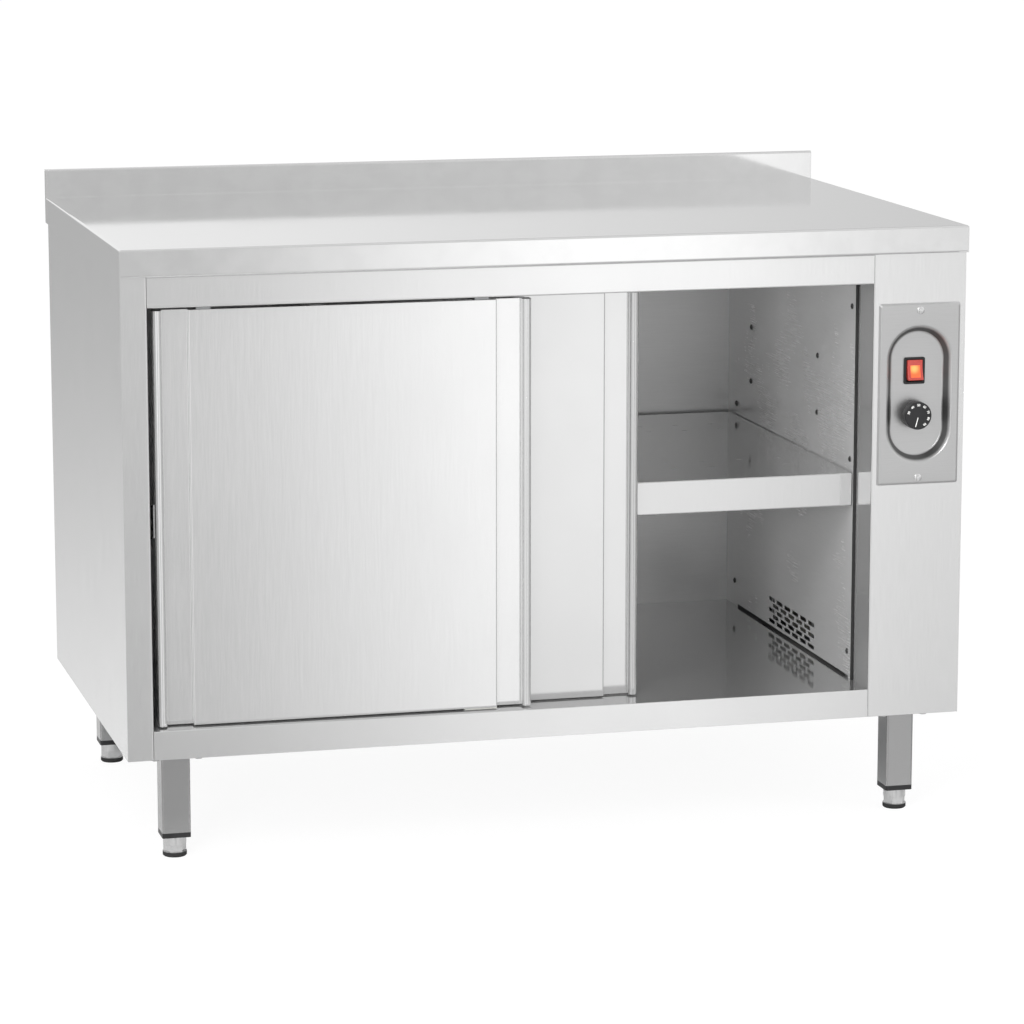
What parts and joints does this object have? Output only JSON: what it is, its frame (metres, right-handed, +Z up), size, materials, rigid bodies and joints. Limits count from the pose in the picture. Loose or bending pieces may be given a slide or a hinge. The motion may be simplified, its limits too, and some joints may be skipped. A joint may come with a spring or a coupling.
{
  "type": "plate warmer cabinet",
  "caption": "Free-standing stainless steel heated cupboard: worktop with rear upstand, two sliding doors, inner shelf, control column with knob and lit switch, square legs on levelling feet.",
  "frame": {"origin": "on the floor, below the centre of the worktop", "axes": "+Z up, the doors face -Y, +X to the right as seen from the front"},
  "size_m": [1.2, 0.7112, 0.892],
  "materials": {
    "polished_steel": "polished stainless sheet, mirror-like with a soft haze",
    "brushed_steel": "fine satin stainless sheet",
    "door_steel": "fine satin stainless sheet",
    "chamber_steel": "bright rolled stainless liner sheet",
    "galvanised_steel": "plain zinc-coated sheet",
    "screw_steel": "turned stainless fasteners",
    "aluminium": "extruded and pressed aluminium, as drawn",
    "core_board": "raw chipboard",
    "mineral_wool": "loose mineral wool",
    "rubber": "soft black rubber",
    "white_plastic": "natural nylon",
    "black_plastic": "moulded black plastic",
    "knob_plastic": "moulded black plastic, satin",
    "red_lens": "translucent red plastic, lit from behind",
    "thermostat_case": "moulded phenolic case",
    "shaft_steel": "turned steel",
    "copper": "drawn copper tube and bulb",
    "motor_steel": "laminated steel core with painted cap",
    "heater_steel": "stainless sheath with pressed fins",
    "ceramic": "glazed ceramic",
    "foot_steel": "turned stainless, with a black plastic base"
  },
  "bodies": {
    "cabinet": {"worktop": "polished_steel", "worktop_core": "core_board", "worktop_stiffeners": "galvanised_steel", "left_side_panel": "brushed_steel", "right_side_panel": "brushed_steel", "left_jamb": "brushed_steel", "control_column": "brushed_steel", "back_panel": "brushed_steel", "base_panel": "galvanised_steel", "base_stiffeners": "galvanised_steel", "top_rail": "brushed_steel", "bottom_rail": "brushed_steel", "floor_liner": "chamber_steel", "left_liner": "chamber_steel", "back_liner": "chamber_steel", "ceiling_liner": "chamber_steel", "insulation": "mineral_wool", "duct_partition": "galvanised_steel", "duct_cover": "chamber_steel", "duct_posts": "galvanised_steel", "chamber_screws": "screw_steel", "shelf": "chamber_steel", "shelf_brackets": "galvanised_steel", "top_track": "aluminium", "door_guide": "white_plastic", "door_buffers": "rubber", "control_plate": "brushed_steel", "plate_screws": "screw_steel", "switch_housing": "black_plastic", "thermostat_body": "thermostat_case", "thermostat_bulb": "copper", "blower_housing": "galvanised_steel", "blower_motor": "motor_steel", "heating_element": "heater_steel", "terminal_block": "ceramic", "cable_gland": "black_plastic", "leg_front_left": "brushed_steel", "leg_front_right": "brushed_steel", "leg_back_left": "brushed_steel", "leg_back_right": "brushed_steel", "leg_bolts": "screw_steel", "leg_end_caps": "black_plastic"},
    "front_door": {"front_door_skin": "door_steel", "front_door_back": "brushed_steel", "front_door_hangers": "galvanised_steel"},
    "rear_door": {"rear_door_skin": "door_steel", "rear_door_back": "brushed_steel", "rear_door_hangers": "galvanised_steel"},
    "front_left_roller": {"front_door_roller_left": "white_plastic"},
    "front_right_roller": {"front_door_roller_right": "white_plastic"},
    "rear_left_roller": {"rear_door_roller_left": "white_plastic"},
    "rear_right_roller": {"rear_door_roller_right": "white_plastic"},
    "knob": {"knob": "knob_plastic", "thermostat_shaft": "shaft_steel"},
    "rocker": {"switch_rocker": "red_lens"},
    "rotor": {"blower_rotor": "aluminium"},
    "foot_fl": {"foot_front_left": "foot_steel"},
    "foot_fr": {"foot_front_right": "foot_steel"},
    "foot_bl": {"foot_back_left": "foot_steel"},
    "foot_br": {"foot_back_right": "foot_steel"}
  },
  "joints": [
    {"name": "front_door_slide", "type": "slide", "parent": "cabinet", "child": "front_door", "axis": [1, 0, 0], "range_m": [0, 0.45]},
    {"name": "rear_door_slide", "type": "slide", "parent": "cabinet", "child": "rear_door", "axis": [1, 0, 0], "range_m": [-0.162, 0.318]},
    {"name": "front_left_roller_spin", "type": "hinge", "parent": "front_door", "child": "front_left_roller", "pos_m": [-0.483, -0.317, 0.7881], "axis": [0, 1, 0], "range_deg": [-10, 2590]},
    {"name": "front_right_roller_spin", "type": "hinge", "parent": "front_door", "child": "front_right_roller", "pos_m": [-0.097, -0.317, 0.7881], "axis": [0, 1, 0], "range_deg": [-10, 2590]},
    {"name": "rear_left_roller_spin", "type": "hinge", "parent": "rear_door", "child": "rear_left_roller", "pos_m": [-0.321, -0.289, 0.7881], "axis": [0, 1, 0], "range_deg": [-940, 1830]},
    {"name": "rear_right_roller_spin", "type": "hinge", "parent": "rear_door", "child": "rear_right_roller", "pos_m": [0.065, -0.289, 0.7881], "axis": [0, 1, 0], "range_deg": [-940, 1830]},
    {"name": "knob_turn", "type": "hinge", "parent": "cabinet", "child": "knob", "pos_m": [0.5275, -0.334, 0.5833], "axis": [0, 1, 0], "range_deg": [0, 270]},
    {"name": "rocker_tilt", "type": "hinge", "parent": "cabinet", "child": "rocker", "pos_m": [0.5275, -0.334, 0.645], "axis": [1, 0, 0], "range_deg": [0, 24]},
    {"name": "rotor_spin", "type": "hinge", "parent": "cabinet", "child": "rotor", "pos_m": [0.4829, -0.0065, 0.294], "axis": [0, 1, 0], "continuous": true},
    {"name": "foot_fl_slide", "type": "slide", "parent": "cabinet", "child": "foot_fl", "axis": [0, 0, 1], "range_m": [-0.03, 0]},
    {"name": "foot_fr_slide", "type": "slide", "parent": "cabinet", "child": "foot_fr", "axis": [0, 0, 1], "range_m": [-0.03, 0]},
    {"name": "foot_bl_slide", "type": "slide", "parent": "cabinet", "child": "foot_bl", "axis": [0, 0, 1], "range_m": [-0.03, 0]},
    {"name": "foot_br_slide", "type": "slide", "parent": "cabinet", "child": "foot_br", "axis": [0, 0, 1], "range_m": [-0.03, 0]}
  ],
  "couplings": [
    {"joint": "front_left_roller_spin", "follows": "front_door_slide", "rad_per_m": 100},
    {"joint": "front_right_roller_spin", "follows": "front_door_slide", "rad_per_m": 100},
    {"joint": "rear_left_roller_spin", "follows": "rear_door_slide", "rad_per_m": 100},
    {"joint": "rear_right_roller_spin", "follows": "rear_door_slide", "rad_per_m": 100}
  ]
}
